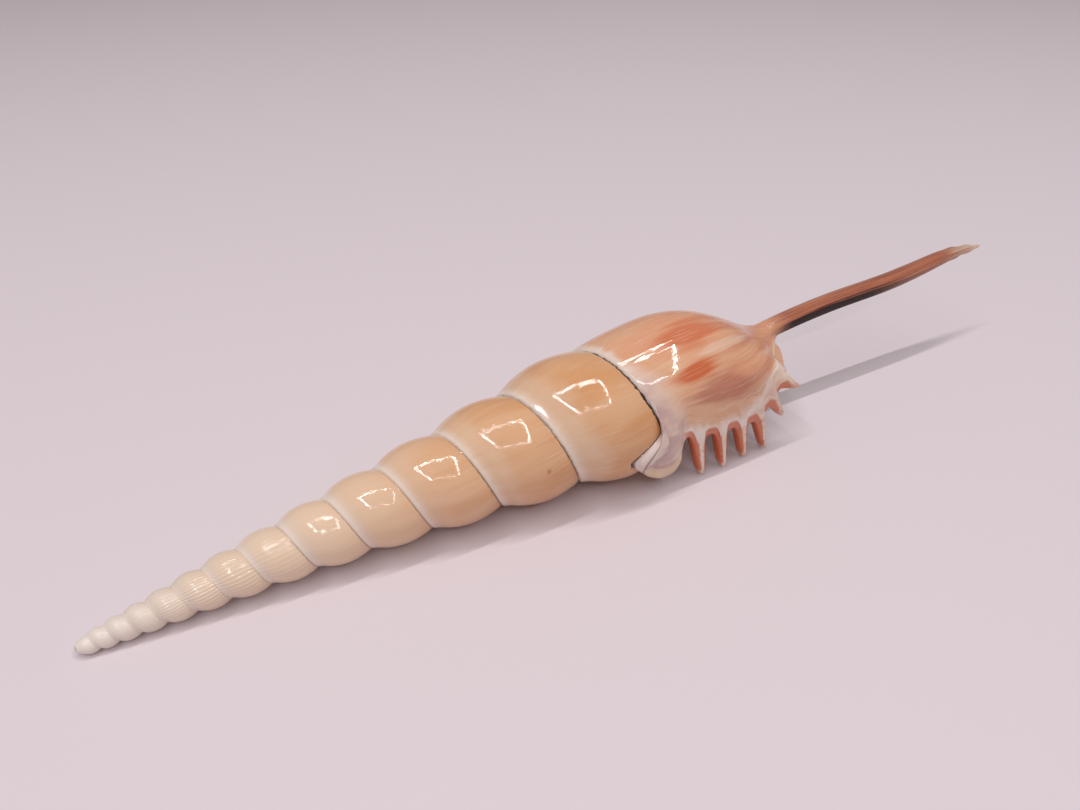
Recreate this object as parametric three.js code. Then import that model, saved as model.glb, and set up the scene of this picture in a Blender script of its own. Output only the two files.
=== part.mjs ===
// A shinbone tibia, a long spindle-shaped sea snail's shell, lying on its aperture side. It grew as one
// piece: a spire of convex whorls, a body whorl, a long canal in front, and an outer lip with fingers.
// The shell's own axis runs from the apex to the tip of the canal. A place on the shell is given by
// `along` the axis, `aside` of it, towards the lip, and `below` it, towards the surface that the shell
// lies on, in millimetres. Growth is counted in turns of the spiral from the apex, right-handed about
// the axis, as a dextral shell grows.
import * as THREE from "three";

// The spiral seam (the suture) between one whorl and the next
const GROWTH = 1.185; // every turn is this many times as tall as the one before it
const SEAM_SCALE = 12.12; // height of the seam is SEAM_SCALE * GROWTH^turn + SEAM_SHIFT
const SEAM_SHIFT = -13.26;
const APEX_HEIGHT = -0.6; // the rounded tip of the spire
const APEX_BLUNTNESS = 2.2;
const APEX_WIDTH = 0.5; // the spiral starts at this share of the cone's radius
const APEX_CROWN = 0.3; // and is closed by a cap this high
const FIRST_TURN = -0.5;
const FULL_TURN = 1; // from here on the seam follows the growth law
const CONE = [1.35, 0.086, 0.00028]; // seam radius against height, a slightly hollow cone
const SWELL_EARLY = 0.16; // how far a whorl bulges past the cone, as a share of its height
const SWELL_LATE = 0.11;
const SWELL_TURNS = [2, 10]; // the turns between which it changes from one to the other
const BULGE_HELD = 0.8; // next to the upper seam this much of the bulge is held back
const BULGE_HELD_SHARE = 0.13;
const SEAM_GROOVE = 0.03; // its depth as a share of the seam radius
const SEAM_GROOVE_WIDTH = 0.35;
const SEAM_RIM = 0.02; // a whorl's upper edge stands over the one before by this share of its height

// The body whorl, the last turn
const LIP_TURN = 13.65; // where the lip meets the whorl before it
const BACK_TURN = 13.23; // the middle of the back
const SIDE_TURN = 13.6; // the side that the lip is on
const BODY_START = LIP_TURN - 1;
const BODY_RISE = 1.35; // the body whorl's bulge past its seam
const BODY_RISE_LENGTH = 5;
const BODY_BLEND = 0.4; // turns over which a whorl of the spire becomes the body whorl
const CANAL_START = 148.5;
const CANAL_TIP = 214.5;
const TIP_LENGTH = 0.5;
const CANAL_RADIUS = 2.15;
const CANAL_TAPER = [0.93, 4]; // it narrows by this share, as this power of the way to the tip
const SLIT_WIDTH = 0.08; // of the slit under the canal, in turns
const SLIT_DEPTH = 0.55; // as a share of the canal's radius
const SLIT_TWIST = 0.12; // the slit is this much further round than the lip
const SLIT_OPENING = 14; // over this length the aperture narrows to the slit
const CANAL_SAG = 4.8; // the canal bends down towards its tip
const SAG_POWER = 1.7;
const BEND_START = 150;
// where the body whorl starts to narrow to the canal, where it has narrowed, and how late it does so
const NARROWING = {
  inner: { start: 99, end: 131, late: 1.2 },
  back: { start: 112, end: 145.5, late: 1.5 },
  side: { start: 134, end: 148.5, late: 1.5 },
};
const SIDE_POWER = 1.5; // from the back to the side it changes as this power of the way
const PILLAR_SHIFT = 20; // the turns before narrow to the pillar earlier, by this much a turn
const AXIS_LEAN = 0.4; // the spire's axis wanders by this much
const LEAN_LENGTH = 150;
const LEAN_ASIDE = -0.69;
const LEAN_BELOW = -0.73;

// The lip's rear lobe climbs back over the whorl before it
const LOBE_CLIMB = 8.7;
const LOBE_FROM = 13.58;
const LOBE_TO = 13.63;
const LOBE_THICKNESS = 1.9;
const LOBE_ROUNDING = 0.8;
const LOBE_BLEND = [-2, 5]; // it passes into the body whorl between these heights about the seam

// The outer lip: its edge without the fingers, as [along, aside, below, height on the body whorl where
// the row starts]
const LIP_START_TURN = 13.5;
const TINY_TURN = 0.01;
const LOBE_EDGE = [
  [101.0, 13.2, 4.8, 106.7],
  [103.4, 14.2, 8.4, 107.5],
  [107.3, 14.3, 11.8, 108.6],
  [110.7, 14.2, 12.1, 109.8],
  [112.6, 14.0, 10.2, 111.0],
  [112.9, 14.0, 7.3, 112.0],
];
const NOTCH_TOPS = [
  [114.4, 14.0, 4.6, 113.2],
  [120.4, 14.0, 7.0, 117.6],
  [125.9, 14.0, 8.3, 122.4],
  [131.0, 14.0, 9.4, 127.2],
  [135.0, 14.0, 7.8, 131.4],
  [137.6, 14.0, 4.6, 134.6],
  [140.2, 13.2, 1.6, 137.8],
];
const FRONT_EDGE = [
  [141.8, 10.6, 1.0, 140.8],
  [144.0, 7.4, 1.0, 143.4],
  [146.2, 3.9, 1.2, 146.0],
  [148.5, 1.3, 1.8, 148.5],
];
// Each finger's reach past the notch tops beside it, as [along, aside, below], from the rear finger to
// the front one
const FINGERS = [
  [0.7, 0.6, 10.9],
  [0.2, 0.8, 9.5],
  [0.8, 0.3, 9.0],
  [2.0, 0.2, 9.9],
  [3.3, 0.0, 5.6],
  [4.3, 0.6, 2.6],
];
const FINGER_SLIMNESS = 0.145; // sideways swing of the wave that draws the fingers, in finger spacings
const FINGER_BLUNTNESS = 1.4;
const ARRIVAL_DOWN = [0, 0, 1]; // the way the lip comes to its edge, as [along, aside, below], on its side
const ARRIVAL_FRONT = [0.75, 0.5, 0.3]; // and at its front end
const FRONT_PLACES = [11.5, 13.5]; // the places on the edge between which the one becomes the other
const END_BLEND = 1.6; // at both ends of the edge the lip passes into the body whorl over this many places
const NORMAL_STEP = 0.15; // a normal is taken from points this far apart, in places and in shares
const LIP_THICKNESS = 2.6;
const END_THICKNESS = 0.3;
const THIN_REAR = 1.5; // it thins out over this many places at the rear end of the edge
const THIN_FRONT = 5; // and over this many at the front end
const FINGER_ROUNDING = 0.6;
const FINGER_GROWTH = 4; // how late on the way to the edge the fingers part
const LIP_CLEARANCE = 1.2; // its outer face stays this far off the whorl that it grows over
const INNER_CLEARANCE = 0.3; // and its inner face this far

// The hollow behind the aperture
const WALL = 1.2;
const HOLLOW_DEPTH = 0.78; // in turns, back from the start of the lip
const HOLLOW_REAR = 4; // it starts this far in front of the seam
const HOLLOW_FRONT = 9; // and ends this far behind where the body whorl has narrowed
const INNER_GLAZE = 0.2;
const LEAST_GAP = 0.8;
const HOLLOW_SOFTNESS = 6;
const HOLLOW_END = 0.4; // its end is this share of its section
const FREE_REAR = [1, 4]; // the hollow follows the lip's inner face between these places on the edge
const FREE_FRONT = [12, 14.5];

// How the shell lies: its axis rises from the apex to the body whorl
const AXIS_RISE_DEG = 7.73;
const DOWN_TURN = 0.8435; // the part of a turn that faces the surface

// Fineness of the mesh
const STEPS_PER_TURN = 34;
const WHORL_ROWS = [0, 0.05, 0.22, 0.48, 0.76]; // shares of a whorl's height
const BODY_ROWS = 18;
const SEAM_ROW = 0.015;
const CANAL_ROWS = 7;
const EDGE_STEP = 0.45; // in rows of the edge's table
const FINGER_ROWS = [0, 0.14, 0.24, 0.35, 0.5, 0.65, 0.76, 0.86]; // shares of a finger's spacing
const RIM_STEPS = 2;
const DEEP_RINGS = 6;

const clamp = (x) => Math.min(1, Math.max(0, x));
const mix = (a, b, share) => a + (b - a) * share;
const mixed = (a, b, share) => a.map((x, i) => mix(x, b[i], share));
const smooth = (low, high, x) => {
  const u = clamp((x - low) / (high - low));
  return u * u * (3 - 2 * u);
};

function seamHeight(turn) {
  const law = (t) => SEAM_SCALE * GROWTH ** t + SEAM_SHIFT;
  if (turn >= FULL_TURN) return law(turn);
  const u = (turn - FIRST_TURN) / (FULL_TURN - FIRST_TURN);
  return mix(APEX_HEIGHT, law(FULL_TURN), u ** APEX_BLUNTNESS);
}

function seamRadius(turn) {
  const height = seamHeight(turn);
  const cone = CONE[0] + CONE[1] * height + CONE[2] * height * height;
  const started = Math.sin((Math.PI / 2) * clamp((turn - FIRST_TURN) / (FULL_TURN - FIRST_TURN)));
  return cone * mix(APEX_WIDTH, 1, started);
}

// The seam as it really runs, with the climb under the rear lobe
const seamLine = (turn) => seamHeight(turn) - LOBE_CLIMB * smooth(LOBE_FROM, LOBE_TO, turn);

const groove = (turn, distance) =>
  SEAM_GROOVE * seamRadius(turn) * Math.exp(-Math.abs(distance) / SEAM_GROOVE_WIDTH);

// Radius of the whorl that starts at `turn`, without its seam grooves: a cone with a bulge that starts
// gently
function whorlRadius(turn, height) {
  const top = seamHeight(turn);
  const tall = seamHeight(turn + 1) - top;
  const share = (height - top) / tall;
  const held = BULGE_HELD * Math.exp(-((share / BULGE_HELD_SHARE) ** 2));
  const bulge = Math.sin(Math.PI * clamp(share)) * (1 - held);
  const [early, late] = SWELL_TURNS;
  const swell = mix(SWELL_EARLY, SWELL_LATE, clamp((turn - early) / (late - early)));
  const rim = SEAM_RIM * (1 - clamp(share)) ** 3;
  return mix(seamRadius(turn), seamRadius(turn + 1), share) + tall * (swell * bulge + rim);
}

const canalRadius = (height) => {
  const u = clamp((height - CANAL_START) / (CANAL_TIP - CANAL_START));
  const [share, power] = CANAL_TAPER;
  return CANAL_RADIUS * (1 - share * u ** power);
};

function narrowing(turn) {
  const { inner, back, side } = NARROWING;
  const parts = ["start", "end", "late"];
  if (turn < BODY_START) {
    const shift = PILLAR_SHIFT * (BODY_START - turn);
    return [inner.start - shift, inner.end - shift, inner.late];
  }
  if (turn < BACK_TURN) {
    const share = clamp((turn - BODY_START) / (BACK_TURN - BODY_START));
    return parts.map((k) => mix(inner[k], back[k], share));
  }
  const share = clamp((turn - BACK_TURN) / (SIDE_TURN - BACK_TURN)) ** SIDE_POWER;
  return parts.map((k) => mix(back[k], side[k], share));
}

// Radius of the last turn: a whorl that flattens into the body whorl, narrows to the canal, and under
// the lobe lies on the whorl before it
function bodyRadius(turn, height) {
  const risen = 1 - Math.exp(-Math.max(0, height - seamHeight(turn)) / BODY_RISE_LENGTH);
  const rise = seamRadius(turn) + BODY_RISE * risen;
  const upper = mix(whorlRadius(turn, height), rise, smooth(BODY_START, BODY_START + BODY_BLEND, turn));
  const [start, end, late] = narrowing(turn);
  const falloff = Math.cos((Math.PI / 2) * clamp((height - start) / (end - start)) ** late) ** 2;
  const canal = canalRadius(height);
  const body = canal + (upper - canal) * falloff;
  const lobe = smooth(LIP_START_TURN, LOBE_TO, turn);
  const lift = LOBE_THICKNESS * lobe * (1 - Math.exp(-(height - seamLine(turn)) / LOBE_ROUNDING));
  const flap = whorlRadius(turn - 1, Math.min(height, seamHeight(turn))) + lift;
  const [low, high] = LOBE_BLEND.map((x) => seamHeight(turn) + x);
  return mix(mix(body, flap, lobe), body, smooth(low, high, height));
}

// A point at a height, radius and turn, as [along, aside, below], on the leaning axis and the bent canal
function place(height, radius, turn) {
  const angle = 2 * Math.PI * (turn - DOWN_TURN);
  const lean = AXIS_LEAN * Math.sin(2 * Math.PI * clamp(height / LEAN_LENGTH));
  const sag = CANAL_SAG * clamp((height - BEND_START) / (CANAL_TIP - BEND_START)) ** SAG_POWER;
  const aside = lean * LEAN_ASIDE - radius * Math.sin(angle);
  const below = lean * LEAN_BELOW + radius * Math.cos(angle) + sag;
  return [height, aside, below];
}

// Rows of the body whorl run from 0 at the seam to 1 where the canal starts and 2 at its tip
const rowHeight = (turn, row) =>
  row <= 1 ? mix(seamLine(turn), CANAL_START, row) : mix(CANAL_START, CANAL_TIP, row - 1);
const bodyRow = (turn, height) => (height - seamLine(turn)) / (CANAL_START - seamLine(turn));

// The canal's turn ends a slit short of meeting itself, and is turned so that the slit is below
function canalTurn(turn, height) {
  const share = smooth(CANAL_START - SLIT_OPENING, CANAL_START, height);
  return turn + share * (SLIT_TWIST - SLIT_WIDTH * (turn - LIP_TURN + 0.5));
}

function bodyPoint(turn, row) {
  const height = rowHeight(turn, row);
  const radius = bodyRadius(turn, height) - groove(turn, height - seamLine(turn));
  return place(height, radius, canalTurn(turn, height));
}

// A smooth curve through table rows, at a place counted in rows
function through(table, at) {
  const i = Math.min(table.length - 2, Math.max(0, Math.floor(at)));
  const u = at - i;
  const [a, b, c, d] = [-1, 0, 1, 2].map((k) => table[Math.min(table.length - 1, Math.max(0, i + k))]);
  return b.map((_, n) => {
    const [pa, pb, pc, pd] = [a[n], b[n], c[n], d[n]];
    return pb + 0.5 * u * (pc - pa + u * (2 * pa - 5 * pb + 4 * pc - pd + u * (3 * (pb - pc) + pd - pa)));
  });
}

const EDGE = [...LOBE_EDGE, ...NOTCH_TOPS, ...FRONT_EDGE];
const FIRST_NOTCH = LOBE_EDGE.length;
const EDGE_END = EDGE.length - 1;

// The lip's edge with its fingers, drawn by a wave that swings sideways as it goes down: [along, aside,
// below, start]
function edgePoint(at, grown = 1) {
  const v = at - FIRST_NOTCH;
  if (v <= 0 || v >= FINGERS.length) return through(EDGE, at);
  const swung = at + grown * FINGER_SLIMNESS * Math.sin(2 * Math.PI * v);
  const swing = Math.tanh(FINGER_BLUNTNESS * Math.cos(2 * Math.PI * v)) / Math.tanh(FINGER_BLUNTNESS);
  const wave = 0.5 - 0.5 * swing;
  const reach = FINGERS[Math.floor(v)];
  return through(EDGE, swung).map((x, n) => x + grown * wave * (reach[n] ?? 0));
}

// Places along the edge where the mesh has rows: even ones on the lobe and in front, and closer ones on
// a finger
function edgePlaces() {
  const even = (from, to, step) => {
    const count = Math.round((to - from) / step);
    return Array.from({ length: count }, (_, i) => mix(from, to, i / count));
  };
  const frontStart = FIRST_NOTCH + FINGERS.length;
  const fingers = FINGERS.flatMap((_, i) => FINGER_ROWS.map((v) => FIRST_NOTCH + i + v));
  const front = even(frontStart, EDGE_END, EDGE_STEP);
  return [...even(0, FIRST_NOTCH, EDGE_STEP), ...fingers, ...front, EDGE_END];
}

// Keeps a point of the lip at least `gap` off the whorl that it grows over
function clearOfWhorl(point, gap) {
  const [along, ...off] = point;
  const centre = place(along, 0, 0).slice(1);
  const [aside, below] = off.map((x, n) => x - centre[n]);
  const turn = Math.floor(LIP_TURN) + DOWN_TURN + Math.atan2(-aside, below) / (2 * Math.PI);
  const open = turn < LIP_TURN && along < seamHeight(turn);
  const least = (open ? whorlRadius : bodyRadius)(turn - 1, along) + gap;
  const near = 1 - smooth(CANAL_START - SLIT_OPENING, CANAL_START - SLIT_OPENING / 2, along);
  const scale = mix(1, Math.max(1, least / Math.hypot(aside, below)), near);
  return [along, centre[0] + aside * scale, centre[1] + below * scale];
}

// The lip's outer face: each row leaves the body whorl along the way it grows, and ends on the edge
function lipPoint(at, share, fingers = true) {
  const edge = edgePoint(at, fingers ? share ** FINGER_GROWTH : 0);
  const row = bodyRow(LIP_START_TURN, through(EDGE, at)[3]);
  const turn = mix(LIP_START_TURN, LIP_TURN, share);
  const start = bodyPoint(LIP_START_TURN, row);
  const before = bodyPoint(LIP_START_TURN - TINY_TURN, row);
  const span = Math.hypot(...[0, 1, 2].map((n) => edge[n] - start[n]));
  const away = start.map((x, n) => x - before[n]);
  const leave = away.map((x) => (x * span) / Math.hypot(...away));
  const arrive = mixed(ARRIVAL_DOWN, ARRIVAL_FRONT, smooth(...FRONT_PLACES, at)).map((x) => x * span);
  const [u, w] = [share, 1 - share];
  const flared = start.map((x, n) => {
    const ends = x * (1 + 2 * u) * w * w + edge[n] * (3 - 2 * u) * u * u;
    return ends + leave[n] * u * w * w - arrive[n] * w * u * u;
  });
  const plain = 1 - smooth(0, END_BLEND, at) * (1 - smooth(EDGE_END - END_BLEND, EDGE_END, at));
  const gap = mix(-LIP_CLEARANCE, LIP_CLEARANCE, smooth(0, 1, at));
  return clearOfWhorl(mixed(flared, bodyPoint(turn, row), plain), gap);
}

const vector = (p) => new THREE.Vector3(...p);

// The way out of the lip's outer face, from the face without its fingers
function lipNormal(at, share) {
  const [a, b] = [Math.max(0, at - NORMAL_STEP), Math.min(EDGE_END, at + NORMAL_STEP)];
  const [c, d] = [Math.max(0, share - NORMAL_STEP), Math.min(1, share + NORMAL_STEP)];
  const alongEdge = vector(lipPoint(b, share, false)).sub(vector(lipPoint(a, share, false)));
  const towardsEdge = vector(lipPoint(at, d, false)).sub(vector(lipPoint(at, c, false)));
  return towardsEdge.cross(alongEdge).normalize();
}

// The mesh: vertices are [along, aside, below], and a face lists its corners with its outside to the
// front
const vertices = [];
const faces = [];
const vertex = (p) => vertices.push(p) - 1;
const quad = (a, b, c, d) => {
  for (const [i, j, k] of [[a, b, c], [a, c, d]])
    if (i !== j && j !== k && k !== i) faces.push([i, j, k]);
};
const weave = (columns, from = 0) => {
  for (let i = 0; i + 1 < columns.length; i++)
    for (let j = from; j + 1 < columns[i].length; j++)
      quad(columns[i][j], columns[i + 1][j], columns[i + 1][j + 1], columns[i][j + 1]);
};

// Joins two lines of vertices that run side by side but differ in number, by how far along each has come
function stitch(left, leftAt, right, rightAt) {
  let [i, j] = [0, 0];
  while (i + 1 < left.length || j + 1 < right.length) {
    const leftNext = i + 1 < left.length ? (leftAt[i] + leftAt[i + 1]) / 2 : Infinity;
    const rightNext = j + 1 < right.length ? (rightAt[j] + rightAt[j + 1]) / 2 : Infinity;
    if (leftNext <= rightNext) {
      if (left[i] !== left[i + 1]) faces.push([left[i], right[j], left[i + 1]]);
      i++;
    } else {
      if (right[j] !== right[j + 1]) faces.push([left[i], right[j], right[j + 1]]);
      j++;
    }
  }
}

const columnTurns = [];
const columnCount = Math.round((LIP_TURN - FIRST_TURN) * STEPS_PER_TURN);
for (let i = 0; i <= columnCount; i++) columnTurns.push(FIRST_TURN + i / STEPS_PER_TURN);
columnTurns[columnCount] = LIP_TURN;
const bodyColumn = columnCount - STEPS_PER_TURN;
const lipColumn = columnCount - Math.round((LIP_TURN - LIP_START_TURN) * STEPS_PER_TURN);

// The spire: the first row of each whorl is the last row of the whorl before it
function spireVertex(turn, share) {
  const [top, bottom] = [seamLine(turn), seamLine(turn + 1)];
  const height = mix(top, bottom, share);
  const radius = whorlRadius(turn, height) - groove(turn, height - top) - groove(turn + 1, bottom - height);
  return place(height, radius, turn);
}
function seamPoint(turn) {
  const height = seamLine(turn);
  const climbs = height < seamHeight(turn);
  const radius = climbs ? whorlRadius(turn - 1, height) : seamRadius(turn);
  return place(height, radius - groove(turn, 0), turn);
}
const seam = columnTurns.map((turn) => vertex(seamPoint(turn)));
const spire = columnTurns
  .slice(0, bodyColumn + 1)
  .map((turn, i) => [
    ...WHORL_ROWS.map((share, j) => (j === 0 ? seam[i] : vertex(spireVertex(turn, share)))),
    seam[i + STEPS_PER_TURN],
  ]);
weave(spire);

// The apex: a small cap over the start of the spiral
const capLoop = [...seam.slice(0, STEPS_PER_TURN), ...spire[0].slice(1).reverse()];
const apex = vertex([APEX_HEIGHT - APEX_CROWN, 0, 0]);
capLoop.forEach((v, i) => {
  const next = capLoop[(i + 1) % capLoop.length];
  if (v !== next) faces.push([v, apex, next]);
});

// The body whorl's rows: as far as the canal's start, then along the canal
const bodyRows = [0, SEAM_ROW];
for (let j = 1; j <= BODY_ROWS; j++) bodyRows.push(j / BODY_ROWS);
const canalRow = bodyRows.length - 1;
for (let j = 1; j <= CANAL_ROWS; j++) bodyRows.push(1 + j / CANAL_ROWS);

// At the first column the rows start at the corner where the lip meets the whorl before it
const cornerRow = bodyRow(BODY_START, seamLine(LIP_TURN));
const corner = seam[columnCount];
const firstRow = bodyRows.findIndex((row) => row > cornerRow + SEAM_ROW);
const body = [];
for (let i = bodyColumn; i <= columnCount; i++) {
  const turn = columnTurns[i];
  body.push(
    bodyRows.map((row, j) => {
      if (j === 0) return seam[i];
      if (i === bodyColumn && j < firstRow) return corner;
      if (i > lipColumn && j < canalRow) return corner;
      return vertex(bodyPoint(turn, row));
    }),
  );
}
const [firstBody, secondBody] = [body[0], body[1]];
const joint = lipColumn - bodyColumn;
stitch(
  [...spire.at(-1), ...firstBody.slice(firstRow)],
  [...WHORL_ROWS.map((share) => share * cornerRow), cornerRow, ...bodyRows.slice(firstRow)],
  secondBody,
  bodyRows,
);
weave(body.slice(1, joint + 1));
weave(body.slice(joint), canalRow);

// The lip's outer face, stitched to the body whorl behind it
const places = edgePlaces();
const lip = [];
const mouthSteps = columnCount - lipColumn;
for (let i = 1; i <= mouthSteps; i++) {
  lip.push(
    places.map((at, j) => {
      if (j === 0) return seam[lipColumn + i];
      if (j === places.length - 1) return body[joint + i][canalRow];
      return vertex(lipPoint(at, i / mouthSteps));
    }),
  );
}
const lipRows = places.map((at) => bodyRow(LIP_START_TURN, through(EDGE, at)[3]));
stitch(body[joint].slice(0, canalRow + 1), bodyRows.slice(0, canalRow + 1), lip[0], lipRows);
weave(lip);

// The slit under the canal, from the lip's side to the other, with rounded edges
const slitRows = bodyRows.slice(canalRow).map((bodyRowAt, k) => {
  const height = rowHeight(BODY_START, bodyRowAt);
  const depth = SLIT_DEPTH * canalRadius(height);
  const left = body.at(-1)[canalRow + k];
  const right = firstBody[canalRow + k];
  const row = [left];
  for (let n = 1; n < 2 * RIM_STEPS; n++) {
    const across = n / RIM_STEPS - 1;
    const radius = canalRadius(height) - depth * Math.cos((across * Math.PI) / 2);
    row.push(vertex(place(height, radius, LIP_TURN + SLIT_TWIST + (across * SLIT_WIDTH) / 2)));
  }
  row.push(right);
  return row;
});

// How thick the lip is at a place on its edge: it thins out at both ends
function lipThickness(at) {
  const ends = smooth(0, THIN_REAR, at) * (1 - smooth(EDGE_END - THIN_FRONT, EDGE_END, at));
  return mix(END_THICKNESS, LIP_THICKNESS, ends);
}

// The rim: round from the outer face to the inner one
const edgeAt = (j) => vector(vertices[lip.at(-1)[j]]);
const last = places.length - 1;
const rim = [];
for (let k = 0; k <= RIM_STEPS; k++) {
  const angle = (Math.PI * k) / RIM_STEPS;
  rim.push(
    places.map((at, j) => {
      if (k === 0) return lip.at(-1)[j];
      if (j === 0) return corner;
      if (j === last) return slitRows[0][k];
      const out = lipNormal(at, 1);
      const along = edgeAt(Math.min(last, j + 1)).sub(edgeAt(Math.max(0, j - 1))).normalize();
      const away = along.clone().cross(out).normalize();
      const thick = lipThickness(at);
      const p = edgeAt(j)
        .addScaledVector(out, (-thick / 2) * (1 - Math.cos(angle)))
        .addScaledVector(away, FINGER_ROUNDING * (thick / LIP_THICKNESS) * Math.sin(angle));
      return vertex(clearOfWhorl(p.toArray(), INNER_CLEARANCE));
    }),
  );
}
weave(rim);

// The hollow: rings from the mouth inwards. A ring has the outer wall, the front end and the inner wall.
const outerCount = places.length;
const innerRows = firstBody.map((v, j) => [v, j]).slice(firstRow, canalRow).reverse();
const mouth = [...rim.at(-1), ...slitRows[0].slice(RIM_STEPS + 1), ...innerRows.map(([v]) => v)];

// A height squeezed softly between the hollow's rear and front ends
function squeezed(height, rear, front) {
  const low = rear + HOLLOW_SOFTNESS;
  const high = front - HOLLOW_SOFTNESS;
  const soft = (over) => HOLLOW_SOFTNESS * (1 - Math.exp(-over / HOLLOW_SOFTNESS));
  if (height > high) return high + soft(height - high);
  return height < low ? low - soft(low - height) : height;
}

function hollowRing(turn) {
  const rear = seamLine(turn) + HOLLOW_REAR;
  const front = narrowing(turn)[1] - HOLLOW_FRONT;
  const outer = (height) => bodyRadius(turn, height) - WALL;
  const inner = (height) => Math.min(bodyRadius(turn - 1, height) + INNER_GLAZE, outer(height) - LEAST_GAP);
  const outerPoint = (own) => {
    const height = squeezed(own, rear, front);
    const closing = clamp((own - front) / (CANAL_START - front)) ** 2;
    const radius = mix(outer(height), inner(height) + LEAST_GAP, closing);
    return place(height, radius, canalTurn(turn, height));
  };
  const innerPoint = (own) => {
    const height = squeezed(own, rear, front);
    return place(height, inner(height), canalTurn(turn - 1, height));
  };
  const ring = places.map((at) => outerPoint(through(EDGE, at)[3]));
  const [from, to] = [outerPoint(CANAL_START), innerPoint(CANAL_START)];
  for (let n = 1; n <= RIM_STEPS; n++) ring.push(mixed(from, to, n / RIM_STEPS));
  innerRows.forEach(([, j]) => ring.push(innerPoint(rowHeight(BODY_START, bodyRows[j]))));
  return ring;
}

const rings = [mouth];
for (let k = 1; k < mouthSteps; k++) {
  const inwards = k / mouthSteps;
  const section = hollowRing(mix(LIP_TURN, LIP_START_TURN, inwards));
  rings.push(
    section.map((p, n) => {
      if (n >= outerCount) return vertex(p);
      const at = places[n];
      const thick = mix(lipThickness(at), WALL, inwards);
      const face = vector(lipPoint(at, 1 - inwards)).addScaledVector(lipNormal(at, 1 - inwards), -thick);
      const free = smooth(...FREE_REAR, at) * (1 - smooth(...FREE_FRONT, at));
      const settled = mix(1, smooth(1 / mouthSteps, 1, inwards), free);
      return vertex(clearOfWhorl(mixed(face.toArray(), p, settled), INNER_CLEARANCE * settled));
    }),
  );
}
for (let k = 0; k <= DEEP_RINGS; k++) {
  const turn = LIP_START_TURN - (HOLLOW_DEPTH * k) / DEEP_RINGS;
  const ring = hollowRing(turn);
  const centre = ring.reduce((sum, p) => sum.map((x, i) => x + p[i] / ring.length), [0, 0, 0]);
  const shrink = mix(1, HOLLOW_END, (k / DEEP_RINGS) ** 4);
  rings.push(ring.map((p) => vertex(mixed(centre, p, shrink))));
}
rings.forEach((ring) => ring.push(ring[0]));
weave(rings);
const end = rings.at(-1).slice(0, -1);
const endCentre = vertex(
  end.reduce((sum, v) => sum.map((x, i) => x + vertices[v][i] / end.length), [0, 0, 0]),
);
end.forEach((v, i) => faces.push([v, endCentre, end[(i + 1) % end.length]]));

// The slit along the canal, and the canal's closed tip
weave(slitRows[0].map((_, k) => slitRows.map((row) => row[k])));
const tipLoop = [...body.map((column) => column.at(-1)), ...slitRows.at(-1).slice(1, -1)];
const tip = vertex(place(CANAL_TIP + TIP_LENGTH, 0, 0));
tipLoop.forEach((v, i) => faces.push([v, tipLoop[(i + 1) % tipLoop.length], tip]));

const geometry = new THREE.BufferGeometry();
geometry.setAttribute(
  "position",
  new THREE.Float32BufferAttribute(vertices.flatMap(([along, aside, below]) => [along, -aside, -below]), 3),
);
geometry.setIndex(faces.flat());
geometry.computeVertexNormals();

const shell = new THREE.Mesh(
  geometry,
  new THREE.MeshStandardMaterial({ color: 0xd9a878, roughness: 0.25, metalness: 0 }),
);
shell.name = "shell";

// Lay the shell down: tilt its axis, then set it on the surface with its box centred on the origin
const model = new THREE.Group();
model.add(shell);
shell.rotation.y = -THREE.MathUtils.degToRad(AXIS_RISE_DEG);
model.updateMatrixWorld(true);
const box = new THREE.Box3().setFromObject(shell, true);
shell.position.set(-(box.min.x + box.max.x) / 2, -(box.min.y + box.max.y) / 2, -box.min.z);

export default model;
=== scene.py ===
"""Looks of a shinbone tibia's shell that lies on its aperture side, seen from above and from its lip's side.

The surface is worked out from the growth of the shell. Growth is counted in turns of the spiral from the
apex. A place on the shell is given by `along` the shell's axis, `aside` of it, towards the lip, and `below`
it, towards the floor, in millimetres. The colours and the fine relief follow the same growth, through
attributes that the surface carries.
"""

import bpy
import numpy as np
from mathutils import Matrix, Vector


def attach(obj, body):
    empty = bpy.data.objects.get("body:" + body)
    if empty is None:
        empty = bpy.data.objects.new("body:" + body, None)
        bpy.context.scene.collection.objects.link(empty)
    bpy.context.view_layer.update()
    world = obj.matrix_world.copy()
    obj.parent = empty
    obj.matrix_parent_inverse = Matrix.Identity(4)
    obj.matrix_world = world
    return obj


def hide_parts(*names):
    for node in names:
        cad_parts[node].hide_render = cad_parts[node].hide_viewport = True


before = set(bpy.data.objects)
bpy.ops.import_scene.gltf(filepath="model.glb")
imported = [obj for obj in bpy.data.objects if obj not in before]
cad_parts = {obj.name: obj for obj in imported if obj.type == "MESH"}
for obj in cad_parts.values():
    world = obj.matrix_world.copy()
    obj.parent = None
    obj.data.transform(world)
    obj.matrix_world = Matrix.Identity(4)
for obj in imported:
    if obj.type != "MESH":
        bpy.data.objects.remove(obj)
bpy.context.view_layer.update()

TAU = 2 * np.pi
METRE = 1000  # in millimetres

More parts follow.
